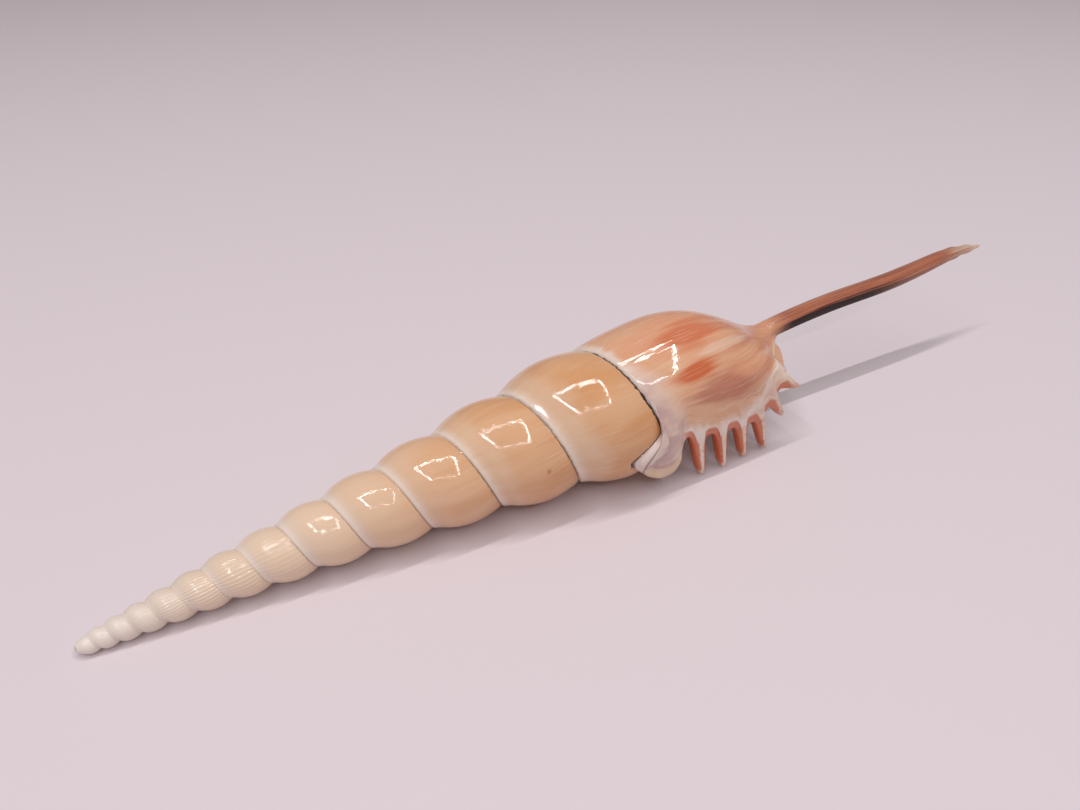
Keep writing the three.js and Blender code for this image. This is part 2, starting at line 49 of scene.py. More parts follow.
# The spiral seam between one whorl and the next. Its height is SEAM_SCALE * GROWTH**turn + SEAM_SHIFT, and its
# radius is the cone's polynomial of the height. Grooves, rims and swells are shares of radius or height.
GROWTH = 1.185
SEAM_SCALE = 12.12
SEAM_SHIFT = -13.26
APEX_HEIGHT = -0.8
APEX_BLUNTNESS = 2.2
FIRST_TURN = -0.5
FULL_TURN = 1.0  # from here on the seam follows the growth law
CONE = (1.35, 0.086, 0.00028)
SWELL_EARLY = 0.16  # how far a whorl bulges past the cone
SWELL_LATE = 0.11
SWELL_TURNS = (2, 10)  # between these turns the early swell becomes the late one
BULGE_HELD = 0.8  # next to the upper seam this much of the bulge is held back
BULGE_HELD_SHARE = 0.13
SEAM_GROOVE = 0.03
SEAM_GROOVE_WIDTH = 0.35
SEAM_RIM = 0.02

# The body whorl and the canal. A narrowing is a start, an end and how late it comes between them.
LIP_TURN = 13.65  # where the lip meets the whorl before it
BACK_TURN = 13.23  # the middle of the back
SIDE_TURN = 13.6  # the side that the lip is on
BODY_START = LIP_TURN - 1
BODY_RISE = 1.35
BODY_RISE_LENGTH = 5
BODY_BLEND = 0.4  # turns over which a whorl of the spire becomes the body whorl
BODY_CURVE = 0.0034  # how strongly the lip's side curves in
CURVE_START = 112
CURVE_TURNS = (13.25, 13.42)
CANAL_START = 148.5
CANAL_TIP = 214.5
TIP_LENGTH = 1.2
TIP_RAGS = (200, 208, 5.5, 0.12)  # where the ragged end starts and is full, its spacing and its share
CANAL_RADIUS = 2.15
CANAL_TAPER = (0.8, 6.5)
SLIT_WIDTH = 0.08
SLIT_DEPTH = 0.55
SLIT_TWIST = 0.12  # the slit is this much further round than the lip
SLIT_OPENING = 14  # over this length the aperture narrows to the slit
CANAL_SAG = 4.8
SAG_POWER = 1.7
BEND_START = 150
CANAL_BENDS = ((182, 14, 0.85), (205, 9, -0.7))  # middle, reach and size of each bend
NARROW_INNER = np.array([99, 131, 1.2])
NARROW_BACK = np.array([112, 145.5, 1.5])
NARROW_SIDE = np.array([134, 148.5, 1.5])
SIDE_POWER = 1.5
PILLAR_SHIFT = 20  # the turns before narrow to the pillar earlier, by this much a turn
AXIS_LEAN = 0.4  # the spire's axis wanders by this much
LEAN_LENGTH = 150
LEAN_ASIDE = -0.69
LEAN_BELOW = -0.73

# The rear lobe of the lip
LOBE_CLIMB = 8.7
LOBE_FROM = 13.58
LOBE_TO = 13.63
LOBE_THICKNESS = 1.9
LOBE_ROUNDING = 0.8
LOBE_BLEND = (-2, 5)  # it passes into the body whorl between these heights about the seam

# The lip's edge: along, aside, below, and the height on the body whorl where the row starts
LIP_START_TURN = 13.5
TINY_TURN = 0.01
LOBE_EDGE = [
    (101.0, 13.2, 4.8, 106.7),
    (103.4, 14.2, 8.4, 107.5),
    (107.3, 14.3, 11.8, 108.6),
    (110.7, 14.2, 12.1, 109.8),
    (112.6, 14.0, 10.2, 111.0),
    (112.9, 14.0, 7.3, 112.0),
]
NOTCH_TOPS = [
    (114.4, 14.0, 4.6, 113.2),
    (120.4, 14.0, 7.0, 117.6),
    (125.9, 14.0, 8.3, 122.4),
    (131.0, 14.0, 9.4, 127.2),
    (135.0, 14.0, 7.8, 131.4),
    (137.6, 14.0, 4.6, 134.6),
    (140.2, 13.2, 1.6, 137.8),
]
FRONT_EDGE = [
    (141.8, 10.6, 1.0, 140.8),
    (144.0, 7.4, 1.0, 143.4),
    (146.2, 3.9, 1.2, 146.0),
    (148.5, 1.3, 1.8, 148.5),
]

# How far each finger stands out: along, aside, below, and no change of the height
FINGERS = np.array(
    [
        (0.7, 0.6, 10.9, 0),
        (0.2, 0.8, 9.5, 0),
        (0.8, 0.3, 9.0, 0),
        (2.0, 0.2, 9.9, 0),
        (3.3, 0.0, 5.6, 0),
        (4.3, 0.6, 2.6, 0),
    ]
)
EDGE = np.array(LOBE_EDGE + NOTCH_TOPS + FRONT_EDGE)
FIRST_NOTCH = len(LOBE_EDGE)
LAST_NOTCH = FIRST_NOTCH + len(FINGERS)
EDGE_END = len(EDGE) - 1
FINGER_SLIMNESS = 0.125  # sideways swing of the wave that draws the fingers, in finger spacings
FINGER_BLUNTNESS = 1.9
ARRIVAL_DOWN = np.array([0, 0, 1])  # the way the lip comes to its edge, on its side
ARRIVAL_FRONT = np.array([0.75, 0.5, 0.3])  # and at its front end
FRONT_PLACES = (11.5, 13.5)
END_BLEND = 1.6
NORMAL_STEP = 0.15
LIP_THICKNESS = 2.6
END_THICKNESS = 0.3
THIN_REAR = 1.5
THIN_FRONT = 5
FINGER_ROUNDING = 0.6
FINGER_GROWTH = 4
LIP_CLEARANCE = 1.2
INNER_CLEARANCE = 0.3

# The hollow behind the aperture
WALL = 1.2
HOLLOW_DEPTH = 0.78
HOLLOW_REAR = 4
HOLLOW_FRONT = 9
INNER_GLAZE = 0.2
LEAST_GAP = 0.8
HOLLOW_SOFTNESS = 6
HOLLOW_END = 0.4
HOLLOW_CLOSING = 4
FREE_REAR = (1, 4)  # between these places on the edge the lip's inner face is its own
FREE_FRONT = (12, 14.5)
FREE_DEPTH = 0.2

# How the shell lies, and the place of the apex end of its axis
AXIS_RISE_DEG = 7.73
DOWN_TURN = 0.8435  # this turn points straight down
AXIS_PLACE = (-106.4000, 1.2258, 1.6227)

# Fineness of the surface
STEPS_PER_TURN = 160
WHORL_ROWS = np.array(
    [0, 0.006, 0.015, 0.03, 0.055, 0.09, 0.14, 0.2, 0.28, 0.37, 0.47, 0.57, 0.67, 0.77, 0.86, 0.93, 0.98]
)
SEAM_ROWS = [0, 0.0015, 0.004, 0.008, 0.014, 0.022, 0.033]
FIRST_BODY_ROW = 0.045
LEAST_ROW_STEP = 0.004
BODY_ROWS = 90
CANAL_ROWS = 60
LOBE_STEPS = 60
FINGER_STEPS = 24
FRONT_STEPS = 36
RIM_STEPS = 4
DEEP_RINGS = 36

# Distances from the seams that the finish reads where no seam is near
OPEN_BELOW = 60.0
HOLLOW_ABOVE = 20.0


def clamp(x):
    """A value held between 0 and 1."""
    return np.clip(x, 0, 1)


def mix(a, b, share):
    """The straight line from a to b."""
    return a + (b - a) * share


def smooth(low, high, x):
    """The smoothstep from 0 at low to 1 at high: three squares less two cubes."""
    u = clamp((np.asarray(x, float) - low) / (high - low))
    return u * u * (3 - 2 * u)


def seam_height(turn):
    """Height of the seam: it grows by the same factor every turn, after a blunt start at the apex."""
    turn = np.asarray(turn, float)
    law = SEAM_SCALE * GROWTH**turn + SEAM_SHIFT
    full = SEAM_SCALE * GROWTH**FULL_TURN + SEAM_SHIFT
    u = clamp((turn - FIRST_TURN) / (FULL_TURN - FIRST_TURN))
    return np.where(turn >= FULL_TURN, law, mix(APEX_HEIGHT, full, u**APEX_BLUNTNESS))


def seam_radius(turn):
    """Radius of the seam: a square polynomial of the height, opening from nothing at the apex as a quarter
    of a sine."""
    height = seam_height(turn)
    cone = CONE[0] + CONE[1] * height + CONE[2] * height**2
    started = np.sin(np.pi / 2 * clamp((turn - FIRST_TURN) / (FULL_TURN - FIRST_TURN)))
    return cone * started


def seam_line(turn):
    """Height of the seam with its climb under the lip's rear lobe, a smoothstep of the turn."""
    return seam_height(turn) - LOBE_CLIMB * smooth(LOBE_FROM, LOBE_TO, turn)


def groove(turn, distance):
    """Depth of the groove beside a seam: it falls off as e to the minus distance over its width."""
    return SEAM_GROOVE * seam_radius(turn) * np.exp(-np.abs(distance) / SEAM_GROOVE_WIDTH)


def whorl_radius(turn, height):
    """Radius of a whorl: the cone between its two seams, a sine bulge that is held back next to the upper
    seam, and a raised upper rim that falls off as the cube of the share still to go."""
    top = seam_height(turn)
    tall = seam_height(turn + 1) - top
    share = (height - top) / tall
    held = BULGE_HELD * np.exp(-((share / BULGE_HELD_SHARE) ** 2))
    bulge = np.sin(np.pi * clamp(share)) * (1 - held)
    early, late = SWELL_TURNS
    swell = mix(SWELL_EARLY, SWELL_LATE, clamp((turn - early) / (late - early)))
    swell = swell * smooth(FIRST_TURN, FULL_TURN, turn)
    rim = SEAM_RIM * (1 - clamp(share)) ** 3
    return mix(seam_radius(turn), seam_radius(turn + 1), share) + tall * (swell * bulge + rim)


def canal_radius(height):
    """Radius of the canal: even at first, then falling as a power of the way to the tip, which a sine of
    the height makes ragged."""
    share, power = CANAL_TAPER
    u = clamp((height - CANAL_START) / (CANAL_TIP - CANAL_START))
    start, full, spacing, size = TIP_RAGS
    ragged = 1 + size * smooth(start, full, height) * np.sin(TAU * height / spacing)
    return CANAL_RADIUS * (1 - share * u**power) * ragged


def narrowing(turn):
    """Where the body whorl starts and ends to narrow, and how late it does so, all round its last turn."""
    turn = np.asarray(turn, float)[..., None]
    first = clamp((turn - BODY_START) / (BACK_TURN - BODY_START))
    second = clamp((turn - BACK_TURN) / (SIDE_TURN - BACK_TURN)) ** SIDE_POWER
    inner_part = mix(NARROW_INNER, NARROW_BACK, first)
    outer_part = mix(NARROW_BACK, NARROW_SIDE, second)
    parts = np.where(turn < BACK_TURN, inner_part, outer_part)
    shift = PILLAR_SHIFT * np.maximum(0, BODY_START - turn) * np.array([1, 1, 0])
    parts = parts - shift
    return parts[..., 0], parts[..., 1], parts[..., 2]


def body_radius(turn, height):
    """Radius of the last turn: a whorl that flattens into the body whorl, curves in as the square of the
    height on the lip's side, falls to the canal as a squared cosine, and under the lobe lies on the whorl
    before it."""
    turn, height = np.broadcast_arrays(np.asarray(turn, float), np.asarray(height, float))
    risen = 1 - np.exp(-np.maximum(0, height - seam_height(turn)) / BODY_RISE_LENGTH)
    rise = seam_radius(turn) + BODY_RISE * risen
    upper = mix(whorl_radius(turn, height), rise, smooth(BODY_START, BODY_START + BODY_BLEND, turn))
    upper = upper - BODY_CURVE * smooth(*CURVE_TURNS, turn) * np.maximum(0, height - CURVE_START) ** 2
    start, end, late = narrowing(turn)
    falloff = np.cos(np.pi / 2 * clamp((height - start) / (end - start)) ** late) ** 2
    canal = canal_radius(height)
    body = canal + (upper - canal) * falloff
    lobe = smooth(LIP_START_TURN, LOBE_TO, turn)
    lift = LOBE_THICKNESS * lobe * (1 - np.exp(-np.maximum(0, height - seam_line(turn)) / LOBE_ROUNDING))
    flap = whorl_radius(turn - 1, np.minimum(height, seam_height(turn))) + lift
    low, high = (seam_height(turn) + x for x in LOBE_BLEND)
    return mix(mix(body, flap, lobe), body, smooth(low, high, height))


def place(height, radius, turn):
    """A point at a height, radius and turn: a circle about the axis, which leans as a sine of the height and
    sags as a power of it, with a bell-shaped bend here and there."""
    height, radius, turn = np.broadcast_arrays(height, radius, turn)
    angle = TAU * (turn - DOWN_TURN)
    lean = AXIS_LEAN * np.sin(TAU * clamp(height / LEAN_LENGTH))
    sag = CANAL_SAG * clamp((height - BEND_START) / (CANAL_TIP - BEND_START)) ** SAG_POWER
    for middle, reach, size in CANAL_BENDS:
        sag = sag + size * np.exp(-(((height - middle) / reach) ** 2))
    aside = lean * LEAN_ASIDE - radius * np.sin(angle)
    below = lean * LEAN_BELOW + radius * np.cos(angle) + sag
    return np.stack([height.astype(float), aside, below], -1)


def row_height(turn, row):
    """Height of a row of the body whorl: 0 at the seam, 1 where the canal starts, 2 at its tip."""
    line = seam_line(turn)
    return np.where(row <= 1, mix(line, CANAL_START, row), mix(CANAL_START, CANAL_TIP, row - 1))


def body_row(turn, height):
    """The row of a height on the body whorl."""
    return (height - seam_line(turn)) / (CANAL_START - seam_line(turn))


def canal_turn(turn, height):
    """The canal's turn ends a slit short of meeting itself, and is turned so that the slit is below."""
    share = smooth(CANAL_START - SLIT_OPENING, CANAL_START, height)
    return turn + share * (SLIT_TWIST - SLIT_WIDTH * (turn - LIP_TURN + 0.5))


def body_point(turn, row):
    """A point of the body whorl or the canal, at a turn and a row."""
    height = row_height(turn, row)
    radius = body_radius(turn, height) - groove(turn, height - seam_line(turn))
    return place(height, radius, canal_turn(turn, height))


def through(table, at):
    """The smooth curve through the rows of a table: between two rows, the cubic whose slope at each of them
    is half the step between the rows beside it."""
    at = np.asarray(at, float)
    i = np.clip(np.floor(at).astype(int), 0, len(table) - 2)
    u = (at - i)[..., None]
    a, b, c, d = (table[np.clip(i + k, 0, len(table) - 1)] for k in (-1, 0, 1, 2))
    return b + 0.5 * u * (c - a + u * (2 * a - 5 * b + 4 * c - d + u * (3 * (b - c) + d - a)))


def edge_point(at, grown):
    """The lip's edge: the curve through the tables' rows, and a flattened cosine wave that draws the fingers
    down from it and swings sideways as a sine, which makes them slim."""
    v = at - FIRST_NOTCH
    fingered = (v > 0) & (v < len(FINGERS))
    swung = at + grown * FINGER_SLIMNESS * np.sin(TAU * v) * fingered
    swing = np.tanh(FINGER_BLUNTNESS * np.cos(TAU * v)) / np.tanh(FINGER_BLUNTNESS)
    wave = (0.5 - 0.5 * swing) * fingered * grown
    reach = FINGERS[np.clip(np.floor(v).astype(int), 0, len(FINGERS) - 1)]
    return through(EDGE, swung) + wave[..., None] * reach


def clear_of_whorl(point, gap):
    """Moves points out from the axis until they are at least a gap off the whorl that the lip grows over."""
    along, aside, below = (point[..., n] for n in range(3))
    centre = place(along, np.zeros_like(along), np.zeros_like(along))
    aside, below = aside - centre[..., 1], below - centre[..., 2]
    turn = np.floor(LIP_TURN) + DOWN_TURN + np.arctan2(-aside, below) / TAU
    on_spire = (turn < LIP_TURN) & (along < seam_height(turn))
    least = np.where(on_spire, whorl_radius(turn - 1, along), body_radius(turn - 1, along)) + gap
    near = 1 - smooth(CANAL_START - SLIT_OPENING, CANAL_START - SLIT_OPENING / 2, along)
    scale = mix(1, np.maximum(1, least / np.hypot(aside, below)), near)
    return np.stack([along, centre[..., 1] + aside * scale, centre[..., 2] + below * scale], -1)


def lip_point(at, share, fingers=True):
    """The lip's outer face: the cubic from the body whorl, along the way it grows, to the edge, which passes
    into the plain body whorl at both ends of the edge."""
    at, share = np.broadcast_arrays(np.asarray(at, float), np.asarray(share, float))
    edge = edge_point(at, share**FINGER_GROWTH * fingers)[..., :3]
    row = body_row(LIP_START_TURN, through(EDGE, at)[..., 3])
    turn = mix(LIP_START_TURN, LIP_TURN, share)
    start = body_point(np.full_like(row, LIP_START_TURN), row)
    before = body_point(np.full_like(row, LIP_START_TURN - TINY_TURN), row)
    span = np.linalg.norm(edge - start, axis=-1)[..., None]
    away = start - before
    leave = away * span / np.linalg.norm(away, axis=-1)[..., None]
    front = smooth(*FRONT_PLACES, at)[..., None]
    arrive = mix(ARRIVAL_DOWN, ARRIVAL_FRONT, front) * span
    u, w = share[..., None], 1 - share[..., None]
    flared = start * (1 + 2 * u) * w * w + edge * (3 - 2 * u) * u * u
    flared = flared + leave * u * w * w - arrive * w * u * u
    plain = 1 - smooth(0, END_BLEND, at) * (1 - smooth(EDGE_END - END_BLEND, EDGE_END, at))
    gap = mix(-LIP_CLEARANCE, LIP_CLEARANCE, smooth(0, 1, at))
    return clear_of_whorl(mix(flared, body_point(turn, row), plain[..., None]), gap)


def unit(v):
    """Vectors over their lengths."""
    return v / np.maximum(np.linalg.norm(v, axis=-1, keepdims=True), 1e-9)


def lip_normal(at, share):
    """The way out of the lip's outer face: the cross product of its two directions, without the fingers."""
    at, share = np.broadcast_arrays(np.asarray(at, float), np.asarray(share, float))
    a, b = np.maximum(0, at - NORMAL_STEP), np.minimum(EDGE_END, at + NORMAL_STEP)
    c, d = np.maximum(0, share - NORMAL_STEP), np.minimum(1, share + NORMAL_STEP)
    along_edge = lip_point(b, share, False) - lip_point(a, share, False)
    towards_edge = lip_point(at, d, False) - lip_point(at, c, False)
    return unit(np.cross(towards_edge, along_edge))


def lip_thickness(at):
    """Thickness of the lip along its edge, thin at both ends by smoothsteps."""
    ends = smooth(0, THIN_REAR, at) * (1 - smooth(EDGE_END - THIN_FRONT, EDGE_END, at))
    return mix(END_THICKNESS, LIP_THICKNESS, ends)


class Surface:
    """Points with what the finish needs to know of each, and triangles between them.

    A triangle's corner knows its turn, its distance from the seam above and from the seam below, and the
    share of the whorl's height that it has come. A point knows its height, how far it is out on the lip,
    its place on the lip's edge, and whether it is inside."""

    def __init__(self):
        self.points, self.facts, self.corners, self.traits = [], [], [], []
        self.count = 0

    def add(self, points, height, lip=0.0, edge=0.0, inside=0.0):
        """Adds points with their facts, and gives their numbers in the same order."""
        shape = points.shape[:-1]
        facts = [np.broadcast_to(np.asarray(x, float), shape) for x in (height, lip, edge, inside)]
        index = self.count + np.arange(int(np.prod(shape))).reshape(shape)
        self.points.append(points.reshape(-1, 3))
        self.facts.append(np.stack(facts, -1).reshape(-1, 4))
        self.count += index.size
        return index

    def point(self, number):
        """The place of one point."""
        return np.concatenate(self.points)[number]

    def triangles(self, index, traits):
        """Adds triangles, given as rows of three point numbers and three rows of traits."""
        index, traits = index.reshape(-1, 3), traits.reshape(-1, 3, 4)
        a, b, c = index.T
        kept = (a != b) & (b != c) & (c != a)
        self.corners.append(index[kept])
        self.traits.append(traits[kept])

    def grid(self, index, traits):
        """Joins a grid of points, columns first, with two triangles to a cell."""
        cells = [(slice(None, -1), slice(None, -1)), (slice(1, None), slice(None, -1))]
        cells += [(slice(1, None), slice(1, None)), (slice(None, -1), slice(1, None))]
        quad = np.stack([index[c] for c in cells], -1)
        facts = np.stack([traits[c] for c in cells], -2)
        for corners in ([0, 1, 2], [0, 2, 3]):
            self.triangles(quad[..., corners], facts[..., corners, :])

    def stitch(self, left, left_at, left_traits, right, right_at, right_traits):
        """Joins two lines of points that differ in number, by how far along each has come."""
        steps = np.concatenate([(left_at[1:] + left_at[:-1]) / 2, (right_at[1:] + right_at[:-1]) / 2])
        on_left = np.argsort(steps, kind="stable") < len(left) - 1
        i = np.cumsum(on_left) - on_left
        j = np.cumsum(~on_left) - ~on_left
        next_i, next_j = np.minimum(i + 1, len(left) - 1), np.minimum(j + 1, len(right) - 1)
        third = np.where(on_left, left[next_i], right[next_j])
        third_traits = np.where(on_left[:, None], left_traits[next_i], right_traits[next_j])
        self.triangles(
            np.stack([left[i], right[j], third], -1),
            np.stack([left_traits[i], right_traits[j], third_traits], -2),
        )

    def fan(self, loop, loop_traits, centre, centre_traits, outwards=True):
        """Closes a loop of points with triangles to its centre."""
        following = np.roll(loop, -1)
        middle = np.full_like(loop, centre)
        middle_traits = np.broadcast_to(centre_traits, loop_traits.shape)
        order = (0, 1, 2) if outwards else (0, 2, 1)
        index = np.stack([loop, middle, following], -1)[:, order]
        traits = np.stack([loop_traits, middle_traits, np.roll(loop_traits, -1, 0)], 1)[:, order]
        self.triangles(index, traits)


def traits_of(turn, above, below=OPEN_BELOW):
    """Turn, distance from the seam above, distance from the seam below, and share of the whorl's height."""
    turn, above, below = np.broadcast_arrays(np.asarray(turn, float), np.asarray(above, float), below)
    return np.stack([turn, above, below, above / (seam_height(turn + 1) - seam_height(turn))], -1)


def edge_places():
    """Places along the edge where the surface has rows, closer on the lobe and the fingers."""
    lobe = np.linspace(0, FIRST_NOTCH, LOBE_STEPS, endpoint=False)
    fingers = np.linspace(FIRST_NOTCH, LAST_NOTCH, FINGER_STEPS * len(FINGERS), endpoint=False)
    front = np.linspace(LAST_NOTCH, EDGE_END, FRONT_STEPS)
    return np.concatenate([lobe, fingers, front])


def squeezed(height, rear, front):
    """A height squeezed between the hollow's rear and front ends, near which it rises as one less e to the
    minus the way."""
    low, high = rear + HOLLOW_SOFTNESS, front - HOLLOW_SOFTNESS

    def soft(over):
        return HOLLOW_SOFTNESS * (1 - np.exp(-np.maximum(over, 0) / HOLLOW_SOFTNESS))

    above_low = np.where(height < low, low - soft(low - height), height)
    return np.where(height > high, high + soft(height - high), above_low)


def shell_surface():
    """The whole surface: spire, apex, body whorl with canal, lip, rim, slit, hollow and tip."""
    s = Surface()
    columns = int(round((LIP_TURN - FIRST_TURN) * STEPS_PER_TURN))
    turns = FIRST_TURN + np.arange(columns + 1) / STEPS_PER_TURN
    turns[-1] = LIP_TURN
    body_column = columns - STEPS_PER_TURN
    mouth_steps = int(round((LIP_TURN - LIP_START_TURN) * STEPS_PER_TURN))
    joint = STEPS_PER_TURN - mouth_steps

    # The seam, which one whorl shares with the next
    seam_heights = seam_line(turns)
    climbs = seam_heights < seam_height(turns)
    before = whorl_radius(np.maximum(turns - 1, FULL_TURN), seam_heights)
    seam_radii = np.where(climbs, before, seam_radius(turns)) - groove(turns, 0)
    seam = s.add(place(seam_heights, seam_radii, turns), seam_heights)

    # The spire
    t = turns[: body_column + 1, None]
    top, bottom = seam_line(t), seam_line(t + 1)
    height = mix(top, bottom, WHORL_ROWS[1:])
    radius = whorl_radius(t, height) - groove(t, height - top) - groove(t + 1, bottom - height)
    inner = s.add(place(height, radius, t + 0 * height), height)
    spire = np.concatenate([seam[: body_column + 1, None], inner, seam[STEPS_PER_TURN:, None]], 1)
    shares = np.append(WHORL_ROWS, 1.0)
    spire_traits = traits_of(t, (bottom - top) * shares, (bottom - top) * (1 - shares))
    s.grid(spire, spire_traits)

    # The apex
    loop = np.concatenate([seam[:STEPS_PER_TURN], spire[0, 1:][::-1]])
    loop_traits = np.concatenate([spire_traits[:STEPS_PER_TURN, 0], spire_traits[0, 1:][::-1]])
    s.fan(loop, loop_traits, seam[0], spire_traits[0, 0])

    # The body whorl and the canal
    whorl_rows = np.linspace(FIRST_BODY_ROW, 1, BODY_ROWS)
    canal_rows = 1 + np.arange(1, CANAL_ROWS + 1) / CANAL_ROWS
    rows = np.concatenate([SEAM_ROWS, whorl_rows, canal_rows])
    canal_row = len(SEAM_ROWS) + BODY_ROWS - 1
    corner_row = float(body_row(BODY_START, seam_line(LIP_TURN)))
    corner = seam[-1]
    first_row = int(np.argmax(rows > corner_row + LEAST_ROW_STEP))
    t = turns[body_column:, None]
    height = row_height(t, rows[None, :])
    body = s.add(body_point(t + 0 * height, rows[None, :] + 0 * t), height)
    body[:, 0] = seam[body_column:]
    body[0, 1:first_row] = corner
    body[joint + 1 :, 1:canal_row] = corner
    body_traits = traits_of(t, height - seam_line(t))
    left = np.concatenate([spire[-1], body[0, first_row:]])
    left_at = np.concatenate([WHORL_ROWS * corner_row, [corner_row], rows[first_row:]])
    left_traits = np.concatenate([spire_traits[-1], body_traits[0, first_row:]])
    s.stitch(left, left_at, left_traits, body[1], rows, body_traits[1])
    s.grid(body[1 : joint + 1], body_traits[1 : joint + 1])
    s.grid(body[joint:, canal_row:], body_traits[joint:, canal_row:])

    # The lip's outer face
    places = edge_places()
    starts = through(EDGE, places)[:, 3]
    shares = np.arange(1, mouth_steps + 1)[:, None] / mouth_steps
    outer = lip_point(places[None, :], shares)
    lip = s.add(outer, starts[None, :], shares, places[None, :])
    lip[:, 0] = seam[-mouth_steps:]
    lip[:, -1] = body[joint + 1 :, canal_row]
    lip_turns = mix(LIP_START_TURN, LIP_TURN, shares)
    lip_traits = traits_of(lip_turns, (starts - seam_line(LIP_START_TURN))[None, :])
    s.stitch(
        body[joint, : canal_row + 1],
        rows[: canal_row + 1],
        body_traits[joint, : canal_row + 1],
        lip[0],
        body_row(LIP_START_TURN, starts),
        lip_traits[0],
    )
    s.grid(lip, lip_traits)

    # The slit under the canal
    height = row_height(BODY_START, rows[canal_row:])[:, None]
    across = (np.arange(1, 2 * RIM_STEPS) / RIM_STEPS - 1)[None, :]
    radius = canal_radius(height) * (1 - SLIT_DEPTH * np.cos(across * np.pi / 2))
    slit_turn = LIP_TURN + SLIT_TWIST + across * SLIT_WIDTH / 2
    between = s.add(place(height, radius, slit_turn), height, inside=np.cos(across * np.pi / 2))
    slit = np.concatenate([body[-1, canal_row:, None], between, body[0, canal_row:, None]], 1)
    slit_traits = traits_of(LIP_TURN, height - seam_line(LIP_TURN) + 0 * slit)

    # The rim, round from the outer face to the inner one
    angle = (np.pi * np.arange(1, RIM_STEPS + 1) / RIM_STEPS)[:, None, None]
    edge = outer[-1]
    edge = np.concatenate([s.point(corner)[None], edge[1:-1], s.point(lip[-1, -1])[None]])
    out = lip_normal(places, np.ones_like(places))
    tangent = unit(np.concatenate([edge[1:2] - edge[:1], edge[2:] - edge[:-2], edge[-1:] - edge[-2:-1]]))
    away = unit(np.cross(tangent, out))
    thick = lip_thickness(places)[None, :, None]
    curled = edge - out * thick / 2 * (1 - np.cos(angle))
    curled = curled + away * FINGER_ROUNDING * (thick / LIP_THICKNESS) * np.sin(angle)
    curled = clear_of_whorl(curled, INNER_CLEARANCE)
    turned_in = np.arange(1, RIM_STEPS + 1)[:, None] / RIM_STEPS
    rim = s.add(curled, starts[None, :], 1.0, places[None, :], turned_in)
    rim[:, 0] = corner
    rim[:, -1] = slit[0, 1 : RIM_STEPS + 1]
    rim = np.concatenate([lip[-1:], rim])
    rim_traits = np.broadcast_to(lip_traits[-1:], rim.shape + (4,))
    s.grid(rim, rim_traits)

    # The hollow, in rings from the mouth inwards
    inner_rows = np.arange(first_row, canal_row)[::-1]
    mouth = np.concatenate([rim[-1], slit[0, RIM_STEPS + 1 :], body[0, inner_rows]])
    own_outer = starts
    own_inner = row_height(BODY_START, rows[inner_rows])

    def ring(turn):
        """One ring of the hollow: its outer side a wall inside the shell, its inner side on the pillar."""
        rear = seam_line(turn) + HOLLOW_REAR
        front = narrowing(turn)[1] - HOLLOW_FRONT

        def outer_radius(h):
            return body_radius(turn, h) - WALL

        def inner_radius(h):
            return np.minimum(body_radius(turn - 1, h) + INNER_GLAZE, outer_radius(h) - LEAST_GAP)

        def outer_side(own):
            h = squeezed(own, rear, front)
            closing = clamp((own - front) / (CANAL_START - front)) ** 2
            return place(h, mix(outer_radius(h), inner_radius(h) + LEAST_GAP, closing), canal_turn(turn, h))

        def inner_side(own):
            h = squeezed(own, rear, front)
            return place(h, inner_radius(h), canal_turn(turn - 1, h))

        ends = outer_side(np.array([CANAL_START])), inner_side(np.array([CANAL_START]))
        steps = (np.arange(1, RIM_STEPS + 1) / RIM_STEPS)[:, None]
        return np.concatenate([outer_side(own_outer), mix(ends[0], ends[1], steps), inner_side(own_inner)])

    near = []
    for k in range(1, mouth_steps):
        inwards = k / mouth_steps
        section = ring(mix(LIP_TURN, LIP_START_TURN, inwards))
        thick = mix(lip_thickness(places), WALL, inwards)[:, None]
        face = lip_point(places, 1 - inwards) - lip_normal(places, 1 - inwards) * thick
        free = smooth(*FREE_REAR, places) * (1 - smooth(*FREE_FRONT, places))
        settled = mix(1, smooth(FREE_DEPTH, 1, inwards), free)
        count = len(places)
        face = mix(face, section[:count], settled[:, None])
        section[:count] = clear_of_whorl(face, INNER_CLEARANCE * settled)
        near.append(section)
    deep = []
    for k in range(DEEP_RINGS + 1):
        section = ring(LIP_START_TURN - HOLLOW_DEPTH * k / DEEP_RINGS)
        shrink = mix(1, HOLLOW_END, (k / DEEP_RINGS) ** HOLLOW_CLOSING)
        deep.append(mix(section.mean(0), section, shrink))
    sections = np.stack(near + deep)
    depth = (np.arange(1, len(sections) + 1) / len(sections))[:, None]
    rings = s.add(sections, sections[..., 0], 1.0, 0.0, 1 + depth)
    rings = np.concatenate([mouth[None], rings])
    ring_turns = LIP_TURN - HOLLOW_DEPTH * np.arange(len(rings)) / len(rings)
    rings = np.concatenate([rings, rings[:, :1]], 1)
    ring_traits = traits_of(ring_turns[:, None] + 0 * rings, HOLLOW_ABOVE)
    s.grid(rings, ring_traits)
    end = rings[-1, :-1]
    centre = s.add(sections[-1].mean(0)[None], sections[-1, :, 0].mean(), 1.0, 0.0, 2.0)[0]
    s.fan(end, ring_traits[-1, :-1], centre, ring_traits[-1, 0])

    # The slit's surface and the canal's closed tip
    s.grid(slit.T, np.swapaxes(slit_traits, 0, 1))
    tip_loop = np.concatenate([body[:, -1], slit[-1, 1:-1]])
    tip = s.add(place(np.array([CANAL_TIP + TIP_LENGTH]), 0.0, 0.0), CANAL_TIP)[0]
    tip_traits = np.broadcast_to(body_traits[-1, -1], (len(tip_loop), 4))
    s.fan(tip_loop, tip_traits, tip, body_traits[-1, -1], False)
    return s


